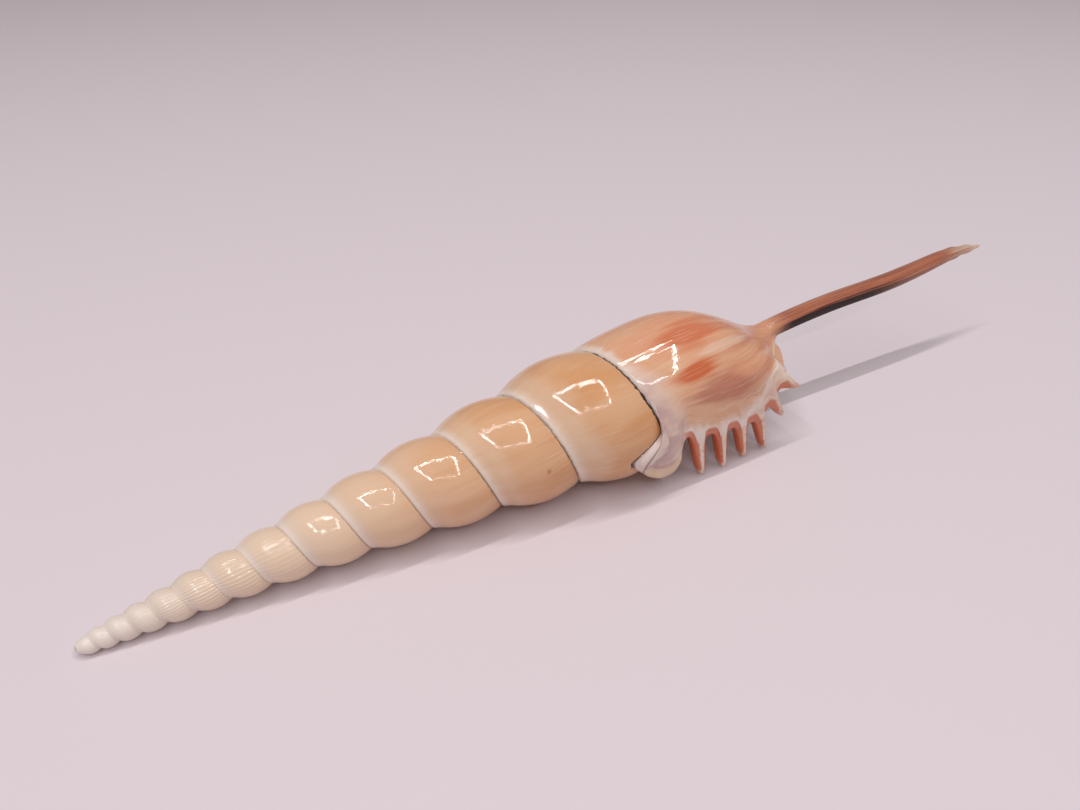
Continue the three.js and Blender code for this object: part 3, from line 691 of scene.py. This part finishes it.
def laid(points):
    """Turns points from along, aside and below to the shell's place on the floor, in metres."""
    rise = np.radians(AXIS_RISE_DEG)
    along, left, up = points[:, 0], -points[:, 1], -points[:, 2]
    x = along * np.cos(rise) - up * np.sin(rise)
    z = along * np.sin(rise) + up * np.cos(rise)
    return (np.stack([x, left, z], -1) + AXIS_PLACE) / METRE


def build_shell():
    """The mesh of the whole shell, with its attributes."""
    s = shell_surface()
    corners = np.concatenate(s.corners)
    traits = np.concatenate(s.traits).reshape(-1, 4)
    used, corners = np.unique(corners, return_inverse=True)
    corners = corners.reshape(-1, 3)
    points = laid(np.concatenate(s.points)[used])
    facts = np.concatenate(s.facts)[used]
    mesh = bpy.data.meshes.new("tibia_shell")
    mesh.vertices.add(len(points))
    mesh.vertices.foreach_set("co", points.astype(np.float32).ravel())
    mesh.loops.add(corners.size)
    mesh.loops.foreach_set("vertex_index", corners.ravel().astype(np.int32))
    mesh.polygons.add(len(corners))
    mesh.polygons.foreach_set("loop_start", np.arange(0, corners.size, 3, dtype=np.int32))
    mesh.update(calc_edges=True)
    mesh.polygons.foreach_set("use_smooth", np.ones(len(corners), bool))
    for name, column in zip(("turn", "above_gap", "below_gap", "share"), traits.T):
        attribute = mesh.attributes.new(name, "FLOAT", "CORNER")
        attribute.data.foreach_set("value", column.astype(np.float32))
    for name, column in zip(("height", "lip", "edge", "inside"), facts.T):
        attribute = mesh.attributes.new(name, "FLOAT", "POINT")
        attribute.data.foreach_set("value", column.astype(np.float32))
    mesh.validate()
    shell = bpy.data.objects.new("tibia_shell", mesh)
    bpy.context.scene.collection.objects.link(shell)
    return shell


def colour(red, green, blue):
    """A colour given in 0 to 255 as a screen shows it, in the linear values that a shader takes: a straight
    line near black, and a power from there on."""
    c = np.array([red, green, blue]) / 255
    linear = np.where(c <= 0.04045, c / 12.92, ((c + 0.055) / 1.055) ** 2.4)
    return (*map(float, linear), 1.0)


class Wire:
    """A socket of the shader. Arithmetic on it adds a maths node."""

    tree = None

    def __init__(self, socket):
        self.socket = socket

    @classmethod
    def node(cls, kind, inputs=None, output=0, **settings):
        """Adds a node, sets it, and feeds its inputs with wires or plain values."""
        node = cls.tree.nodes.new(kind)
        for key, value in settings.items():
            setattr(node, key, value)
        for key, value in (inputs or {}).items():
            if isinstance(value, Wire):
                cls.tree.links.new(value.socket, node.inputs[key])
            else:
                node.inputs[key].default_value = value
        return cls(node.outputs[output])

    def maths(self, operation, *others):
        """A maths node of this and other wires or numbers."""
        return Wire.node("ShaderNodeMath", dict(enumerate((self, *others))), operation=operation)

    def __add__(self, other):
        return self.maths("ADD", other)

    def __sub__(self, other):
        return self.maths("SUBTRACT", other)

    def __mul__(self, other):
        return self.maths("MULTIPLY", other)

    def __truediv__(self, other):
        return self.maths("DIVIDE", other)

    def __neg__(self):
        return self * -1.0

    __radd__ = __add__
    __rmul__ = __mul__

    def __rsub__(self, other):
        return Wire.node("ShaderNodeMath", {0: other, 1: self}, operation="SUBTRACT")

    def __rtruediv__(self, other):
        return Wire.node("ShaderNodeMath", {0: other, 1: self}, operation="DIVIDE")


def step(x, low, high):
    """The smoothstep of x from low to high."""
    inputs = {"Value": x, "From Min": low, "From Max": high}
    return Wire.node("ShaderNodeMapRange", inputs, interpolation_type="SMOOTHSTEP")


def clamped(x):
    """A value held between 0 and 1."""
    return Wire.node("ShaderNodeClamp", {"Value": x})


def blend(a, b, factor):
    """Colour a where the factor is 0 and b where it is 1."""
    return Wire.node("ShaderNodeMix", {"Factor": factor, 6: a, 7: b}, 2, data_type="RGBA")


def attribute(name):
    """A number that the surface carries."""
    return Wire.node("ShaderNodeAttribute", output="Fac", attribute_name=name)


def vector(x, y):
    """A vector of two values."""
    return Wire.node("ShaderNodeCombineXYZ", {0: x, 1: y})


def noise(at, detail, roughness, scale=1.0):
    """Cloudy noise between about 0.2 and 0.8, with finer detail added in halves of the size."""
    inputs = {"Vector": at, "Scale": scale, "Detail": detail, "Roughness": roughness}
    return Wire.node("ShaderNodeTexNoise", inputs, noise_dimensions="3D")


def wave(x):
    """The sine of x counted in whole waves."""
    return (x * TAU).maths("SINE")


def spread(squares):
    """e to the minus of a sum of squares."""
    return (-squares).maths("EXPONENT")


def around(x, centre, reach):
    """A soft line where x is at a centre."""
    away = (x - centre) / reach
    return spread(away * away)


def blob(turn, height, centre, reach):
    """A soft spot at a turn and height."""
    across, along = (turn - centre[0]) / reach[0], (height - centre[1]) / reach[1]
    return spread(across * across + along * along)


# Colours of the spire
WHITE = colour(232, 222, 214)
CREAM = colour(232, 210, 188)
PEACH = colour(226, 186, 152)
ORANGE = colour(210, 152, 104)
TAN = colour(184, 112, 74)
PALE = colour(232, 218, 208)
LILAC = colour(190, 158, 162)
SUTURE = colour(52, 32, 27)

# Colours of the body whorl, the lip and the canal
BODY = colour(220, 160, 126)
RUST = colour(200, 96, 54)
MAUVE = colour(182, 110, 86)
SPOT = colour(140, 92, 72)
CANAL = colour(172, 104, 78)
CANAL_LINE = colour(112, 56, 44)
# Nearly black: painted shade in the slit, and partly the canal's own dark brown along its underside
CANAL_DARK = colour(34, 17, 16)
TIP = colour(226, 194, 172)
PEARL = colour(226, 200, 188)
MARGIN = colour(226, 200, 168)
FRONT = colour(206, 150, 118)
CHIP = colour(226, 208, 202)
INSIDE = colour(232, 208, 184)

# One brown spot: turn and height, and its reach in both
BROWN_SPOT = (11.568, 83.96)
BROWN_SPOT_REACH = (0.0055, 0.42)

# Ribs and wrinkles to a turn, and how high the relief is, in millimetres
RIBS = 40.0
WRINKLES = 75.0
RIB_RELIEF = 0.028
WRINKLE_RELIEF = 0.11
STREAK_RELIEF = 0.03
FINE_RELIEF = 0.018
THREAD_RELIEF = 0.02
SPECKLE_RELIEF = 0.012
LIP_SPECKLE_RELIEF = 0.03
RIDGE_RELIEF = 0.15

# Patches on the body whorl: colour, turn and height, reach in both, and strength
BODY_PATCHES = (
    (RUST, (13.40, 121.0), (0.05, 9.0), 0.75),
    (RUST, (13.485, 118.5), (0.026, 6.0), 0.95),
    (MAUVE, (13.54, 122.0), (0.04, 9.0), 0.8),
    (CREAM, (13.455, 127.0), (0.014, 8.0), 0.5),
)

# The whitish ridge on the lip: its share of the way out, and how it comes back from the edge towards the front
RIDGE_SHARE = 0.83
RIDGE_RISE = 0.26
RIDGE_PLACES = (8.2, 10.8)
RIDGE_WAVE = 0.06
RIDGE_WIDTH = 0.055

# Gloss
SHELL_IOR = 1.47
POLISH = 0.06


def spire_colour(c):
    """White at the apex, cream and then peach, in bands of growth, with a pale band below each seam."""
    # White, cream and peach, with orange and tan streaks on the later whorls
    tone = blend(WHITE, CREAM, step(c["height"], 3.0, 26.0))
    tone = blend(tone, PEACH, step(c["height"], 18.0, 80.0))
    late = step(c["height"], 36.0, 92.0)
    tone = blend(tone, ORANGE, (0.5 + 0.5 * step(c["broad"], 0.38, 0.6)) * late * 0.9)
    tone = blend(tone, TAN, step(c["streaks"], 0.5, 0.85) * late * 0.3)
    tone = blend(tone, CREAM, step(c["fine"], 0.52, 0.78) * 0.3)
    cloudy_share = c["share"] + (c["cloud"] - 0.5) * 0.4
    tone = blend(tone, CREAM, (1.0 - step(cloudy_share, 0.15, 0.45)) * late * 0.45)

    # Painted shade in the hollows between the ribs, and one brown spot
    tone = blend(tone, TAN, step(wave(c["turn"] * RIBS), 0.2, -1.0) * c["ribbed"] * 0.12)
    tone = blend(tone, SPOT, blob(c["turn"], c["height"], BROWN_SPOT, BROWN_SPOT_REACH) * 0.7)

    # The pale band, wider on the early whorls
    reach = c["share"] + (c["streaks"] - 0.5) * 0.08 + (c["fine"] - 0.5) * 0.06
    reach = reach / (1.0 + 1.2 * step(c["turn"], 11.5, 8.0))
    band = (1.0 - step(reach, 0.01, 0.15)) * 0.6 + (1.0 - step(reach, 0.02, 0.08)) * 0.35
    return blend(tone, PALE, clamped(band) * step(c["turn"], 2.0, 6.0) * 0.9)


def body_colour(c):
    """Orange tan with rust and brown patches drawn out along the growth lines, and lilac beside the lobe."""
    turn, height, streaks, cloud = c["turn"], c["height"], c["streaks"], c["cloud"]
    tone = blend(BODY, PEACH, step(c["broad"], 0.4, 0.65) * 0.5)
    far = step(height, 117.0, 136.0)
    tone = blend(tone, MAUVE, far * step(streaks + c["broad"] * 0.5, 0.55, 0.95) * 0.75)
    drawn = (streaks - 0.5) * 1.1 + (c["fine"] - 0.5) * 0.6
    for patch, centre, reach, strength in BODY_PATCHES:
        tone = blend(tone, patch, step(blob(turn, height, centre, reach) + drawn, 0.3, 0.85) * strength)
    tone = blend(tone, CREAM, step(c["fine"], 0.5, 0.8) * 0.45)
    tone = blend(tone, TAN, step(c["fine"], 0.48, 0.2) * 0.35)

    # The pale band beside the seam, and lilac beside the lobe
    beside = c["above"] + (streaks - 0.5) * 3.0 + (c["fine"] - 0.5) * 1.5
    wide = 2.0 + 4.0 * step(turn, 13.38, 13.5)
    tone = blend(tone, PALE, (1.0 - step(beside / wide, 0.4, 1.3)) * 0.55)
    tone = blend(tone, PALE, (1.0 - step(beside, 0.4, 1.8)) * 0.75)
    near_lip = step(turn, 13.44, 13.5) * (1.0 - step(height + streaks * 3.0, 109.0, 114.0))
    return blend(tone, LILAC, near_lip * step(cloud, 0.35, 0.6) * 0.85)


def lip_colour(c, tone):
    """A whitish ridge along the edge, fingers with rust sides and pale ends, and a cream margin."""
    lip, edge, cloud = c["lip"], c["edge"], c["cloud"]
    fingered = step(edge, 5.3, 6.2)
    here = fingered * (1.0 - step(edge, 12.0, 12.3))

    # Pearly patches and the ridge
    pearly = fingered * (1.0 - 0.6 * step(edge, 11.8, 13.0)) * (0.45 + 0.35 * step(c["fine"], 0.4, 0.7))
    tone = blend(tone, PEARL, step(c["beyond"], -0.12, 0.03) * pearly)
    patchy = here * step(cloud + (c["fine"] - 0.5) * 0.6, 0.35, 0.6)
    tone = blend(tone, PALE, step(c["beyond"], -0.2, 0.0) * patchy * 0.6)
    tone = blend(tone, PALE, c["ridge"] * (0.6 + 0.35 * step(cloud, 0.35, 0.6)))

    # The rear lobe with its margin, and the chip at its corner
    lobe = step(lip, 0.1, 0.5) * (1.0 - step(edge, 5.0, 6.2))
    tone = blend(tone, PALE, lobe * (0.25 + 0.4 * step(cloud, 0.5, 0.35)))
    tone = blend(tone, LILAC, lobe * step(cloud, 0.4, 0.62) * 0.6)
    tone = blend(tone, MARGIN, lobe * step(lip, 0.84, 0.92) * 0.8)
    tone = blend(tone, TAN, lobe * around(lip, 0.85, 0.02) * 0.35)
    tone = blend(tone, CHIP, (1.0 - step(edge, 0.85, 0.95)) * step(lip, 0.01, 0.1))
    tone = blend(tone, SUTURE, around(edge, 0.95, 0.06) * step(lip, 0.3, 0.5) * 0.7)
    tone = blend(tone, SUTURE, around(edge, 0.0, 0.16) * step(lip, 0.01, 0.06) * 0.9)

    # The front end
    tone = blend(tone, MARGIN, step(lip, 0.35, 0.65) * step(edge, 8.6, 10.6) * step(cloud, 0.3, 0.6) * 0.55)
    brown = step(lip, 0.3, 0.8) * step(edge, 12.0, 13.2)
    tone = blend(tone, FRONT, brown * (0.5 + 0.5 * step(c["fine"], 0.65, 0.4)))

    # The fingers' rust sides, their specks, the rim and the inside
    front = step(edge, 9.0, 11.0) * 0.35
    sides = step(c["swing"] + (c["speckle"] - 0.5) * 0.8 - front, -0.85, -0.35)
    tone = blend(tone, RUST, here * step(lip - c["swing"] * 0.03, 0.83, 0.88) * sides * 0.85)
    tone = blend(tone, SPOT, step(c["speckle"], 0.6, 0.7) * here * step(lip, 0.8, 0.95) * 0.6)
    rim = step(c["inside"], 0.05, 0.3) * here
    tone = blend(tone, RUST, rim * (0.15 + 0.85 * sides))
    tone = blend(tone, TAN, (1.0 - fingered) * around(c["inside"], 0.25, 0.2) * 0.5)
    return blend(tone, INSIDE, step(c["inside"], 0.85, 1.1))


def canal_colour(c):
    """Orange brown with dark lines along it, a nearly black band towards the slit that is partly its own dark
    brown and partly painted shade, painted shade in the slit, and a pale end.
    """
    height, lines = c["height"], c["lines"]
    tone = blend(CANAL, CANAL_LINE, step(lines, 0.45, 0.68))
    tone = blend(tone, PEACH, step(lines, 0.42, 0.25) * 0.35)
    # The band along the underside: partly its own dark brown, partly painted shade of the slit's opening
    tone = blend(tone, CANAL_DARK, c["shade"] * 0.97)
    # Painted shade: nearly black inside the slit and on the inner faces at the canal's mouth
    tone = blend(tone, CANAL_DARK, step(c["inside"], 0.1, 0.5))
    end = step(height + (lines - 0.5) * 60.0, 202.0, 212.0)
    return blend(tone, TIP, clamped(end * 0.7 + step(height, 210.0, 214.0) * 0.4))


def growth_fields():
    """What the colours and the relief are made from: the surface's own numbers, and noises drawn out along
    the growth lines, which are lines of one turn."""
    c = {name: attribute(name) for name in ("turn", "share", "height", "lip", "edge", "inside")}
    c["above"], c["below"] = attribute("above_gap"), attribute("below_gap")
    turn, height = c["turn"], c["height"]
    spot = Wire.node("ShaderNodeTexCoord", output="Object")
    c["streaks"] = noise(vector(turn * 60.0, height * 0.05), 3.0, 0.6)
    c["fine"] = noise(vector(turn * 230.0, height * 0.12), 2.0, 0.6)
    c["broad"] = noise(vector(turn * 9.0, height * 0.03), 2.0, 0.5)
    c["speckle"] = noise(spot, 2.0, 0.6, 900.0)
    c["cloud"] = noise(spot, 2.0, 0.6, 160.0)
    c["lines"] = noise(vector(turn * 26.0, height * 0.035), 3.0, 0.6)
    c["ribbed"] = step(turn, 0.8, 2.0) * (1.0 - step(turn, 5.5, 9.4)) * (0.5 + c["streaks"])
    c["swing"] = (c["edge"] * TAU).maths("COSINE")
    rise = step(c["edge"], *RIDGE_PLACES)
    c["beyond"] = c["lip"] - RIDGE_SHARE + RIDGE_RISE * rise - RIDGE_WAVE * c["swing"] * (1.0 - rise)
    c["beyond"] = c["beyond"] + (c["cloud"] - 0.5) * 0.1
    c["ridge"] = around(c["beyond"], 0.0, RIDGE_WIDTH) * step(c["edge"], 4.0, 6.0)
    c["grown"] = step(turn, 12.6, 13.1)
    # A nearly black band along the canal's underside towards the slit: partly the canal's own dark brown,
    # partly painted shade of the slit's opening
    shade = turn + (c["lines"] - 0.5) * 0.1 + height * 0.0006 - 0.1
    shade = step(shade, 13.4, 13.455) + (1.0 - step(turn, 12.68, 12.74))
    c["shade"] = clamped(shade) * (1.0 - step(height, 174.0, 196.0)) * step(height, 145.0, 150.0)
    return c


def seam_lines(c, tone):
    """Dark ragged lines in the seams, on both sides of each."""
    turn, last = c["turn"], step(c["turn"], 12.2, 12.3)
    rough = noise(vector(turn * 60.0, c["height"] * 0.2), 3.0, 0.6) - 0.5
    ragged = rough * (0.5 + 0.8 * step(turn, 12.3, 12.45))
    wide = 0.15 + 0.2 * last
    line = 1.0 - step(c["below"] + ragged, wide, wide + 0.2)
    line = line * (0.3 + 0.4 * step(turn, 9.5, 11.5) + 0.3 * last) * step(turn, 6.0, 8.0)
    upper = 1.0 - step(c["above"] + ragged * 0.5, 0.0, 0.16)
    upper = upper * step(turn, 11.0, 12.0) * (1.0 - step(c["lip"], 0.1, 0.3))
    tone = blend(tone, SUTURE, line)
    return blend(tone, SUTURE, upper * (0.4 + 0.5 * step(turn, 13.2, 13.35)))


def shell_relief(c):
    """Height of the fine relief: growth lines, wrinkles on the body whorl, threads round its front end, ribs
    on the early whorls as a sine of the turn, a grain, and the lip's ridge."""
    turn, height, grown = c["turn"], c["height"], c["grown"]
    lines = (c["streaks"] - 0.5) * STREAK_RELIEF + (c["fine"] - 0.5) * FINE_RELIEF
    lines = lines * (1.0 - 0.7 * grown) * clamped(height / 100.0)
    wrinkles = noise(vector(turn * WRINKLES, height * 0.09), 0.6, 0.5) - 0.5
    threads = wave(height * 1.1) * step(height, 130.0, 138.0) * (1.0 - step(height, 149.0, 152.0))
    ribs = wave(turn * RIBS) * c["ribbed"] * step(turn, 0.0, 7.0)
    grain = (c["speckle"] - 0.5) * (SPECKLE_RELIEF + LIP_SPECKLE_RELIEF * step(c["lip"], 0.7, 1.0))
    relief = lines + threads * THREAD_RELIEF + wrinkles * grown * WRINKLE_RELIEF
    return relief + ribs * RIB_RELIEF + grain + c["ridge"] * RIDGE_RELIEF


def paint_shell(shell):
    """The finish: glossy shell, coloured along its growth, with fine relief of ribs and growth lines."""
    material = bpy.data.materials.new("tibia_shell")
    material.use_nodes = True
    tree = material.node_tree
    tree.nodes.clear()
    Wire.tree = tree
    c = growth_fields()
    turn, height = c["turn"], c["height"]
    tone = blend(spire_colour(c), body_colour(c), step(turn, BODY_START + 0.02, BODY_START + BODY_BLEND))
    tone = lip_colour(c, tone)
    tone = blend(tone, canal_colour(c), step(height, CANAL_START - 4, CANAL_START + 4))
    tone = seam_lines(c, tone)
    bump = {"Height": shell_relief(c), "Strength": 1.0, "Distance": 1 / METRE}
    normal = Wire.node("ShaderNodeBump", bump, "Normal")
    rough = POLISH + 0.25 * (1.0 - step(turn, 3.0, 7.0)) + 0.14 * step(c["lip"], 0.7, 1.0) + 0.6 * c["shade"]
    shader = Wire.node(
        "ShaderNodeBsdfPrincipled",
        {"Base Color": tone, "Roughness": rough, "IOR": SHELL_IOR, "Normal": normal},
    )
    output = tree.nodes.new("ShaderNodeOutputMaterial")
    tree.links.new(shader.socket, output.inputs["Surface"])
    shell.data.materials.append(material)


def plain_material(name, tint, roughness):
    """A material of one colour."""
    material = bpy.data.materials.new(name)
    material.use_nodes = True
    shader = material.node_tree.nodes["Principled BSDF"]
    shader.inputs["Base Color"].default_value = tint
    shader.inputs["Roughness"].default_value = roughness
    return material


# The floor and the sky
FLOOR_REACH = 3.0
FLOOR_COLOUR = colour(216, 203, 208)
FLOOR_ROUGHNESS = 0.8
SKY_COLOUR = (1.0, 0.96, 0.95, 1.0)
SKY_STRENGTH = 0.27

# The overhead light: a square frame of four long lamps, in metres, and their powers in watts
LIGHT_CENTRE = (-0.1, -0.45, 1.05)
LIGHT_SIDE = 0.98
LIGHT_WIDTH = 0.01
FRONT_POWER = 2.3
BACK_POWER = 4.1
LEFT_POWER = 5.1
RIGHT_POWER = 3.1

# The photograph's viewpoint, solved from the seams, in millimetres from the axis's apex end
CAMERA_RIGHT = (0.8755, -0.4833, 0.0)
CAMERA_FORWARD = (0.3902, 0.7069, -0.5899)
CAMERA_PLACE = (26.0, -111.6, 112.31)
CAMERA_LENS = 27.03
CAMERA_SENSOR = 36.0
CAMERA_NEAREST = 0.01


def build_stage():
    """A wide pale floor, a soft sky and a square frame of light overhead."""
    mesh = bpy.data.meshes.new("floor")
    corners = [(x * FLOOR_REACH, y * FLOOR_REACH, 0) for x, y in ((-1, -1), (1, -1), (1, 1), (-1, 1))]
    mesh.from_pydata(corners, [], [(0, 1, 2, 3)])
    floor = bpy.data.objects.new("floor", mesh)
    bpy.context.scene.collection.objects.link(floor)
    mesh.materials.append(plain_material("floor", FLOOR_COLOUR, FLOOR_ROUGHNESS))

    world = bpy.data.worlds.new("sky")
    world.use_nodes = True
    background = world.node_tree.nodes["Background"]
    background.inputs["Color"].default_value = SKY_COLOUR
    background.inputs["Strength"].default_value = SKY_STRENGTH
    bpy.context.scene.world = world

    x, y, z = LIGHT_CENTRE
    half = LIGHT_SIDE / 2
    across = (LIGHT_SIDE + LIGHT_WIDTH, LIGHT_WIDTH)
    along = (LIGHT_WIDTH, LIGHT_SIDE - LIGHT_WIDTH)
    add_light("front", (x, y - half, z), across, FRONT_POWER)
    add_light("back", (x, y + half, z), across, BACK_POWER)
    add_light("left", (x - half, y, z), along, LEFT_POWER)
    add_light("right", (x + half, y, z), along, RIGHT_POWER)


def add_light(name, at, size, power):
    """A rectangular light that faces straight down."""
    data = bpy.data.lights.new(name, "AREA")
    data.shape = "RECTANGLE"
    data.size, data.size_y = size
    data.energy = power
    light = bpy.data.objects.new(name, data)
    light.location = at
    bpy.context.scene.collection.objects.link(light)


def build_camera():
    """The camera at the photograph's viewpoint. Its right is squared against its forward direction."""
    forward = Vector(CAMERA_FORWARD).normalized()
    right = Vector(CAMERA_RIGHT)
    right = (right - forward * right.dot(forward)).normalized()
    up = right.cross(forward)
    at = (Vector(CAMERA_PLACE) + Vector(AXIS_PLACE)) / METRE
    data = bpy.data.cameras.new("camera")
    data.sensor_width = CAMERA_SENSOR
    data.lens = CAMERA_LENS
    data.clip_start = CAMERA_NEAREST
    camera = bpy.data.objects.new("camera", data)
    turned = Matrix((right, up, -forward)).transposed().to_4x4()
    camera.matrix_world = Matrix.Translation(at) @ turned
    bpy.context.scene.collection.objects.link(camera)
    bpy.context.scene.camera = camera


shell = build_shell()
paint_shell(shell)
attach(shell, "root")
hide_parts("shell")
build_stage()
build_camera()
bpy.context.scene.view_settings.view_transform = "Standard"
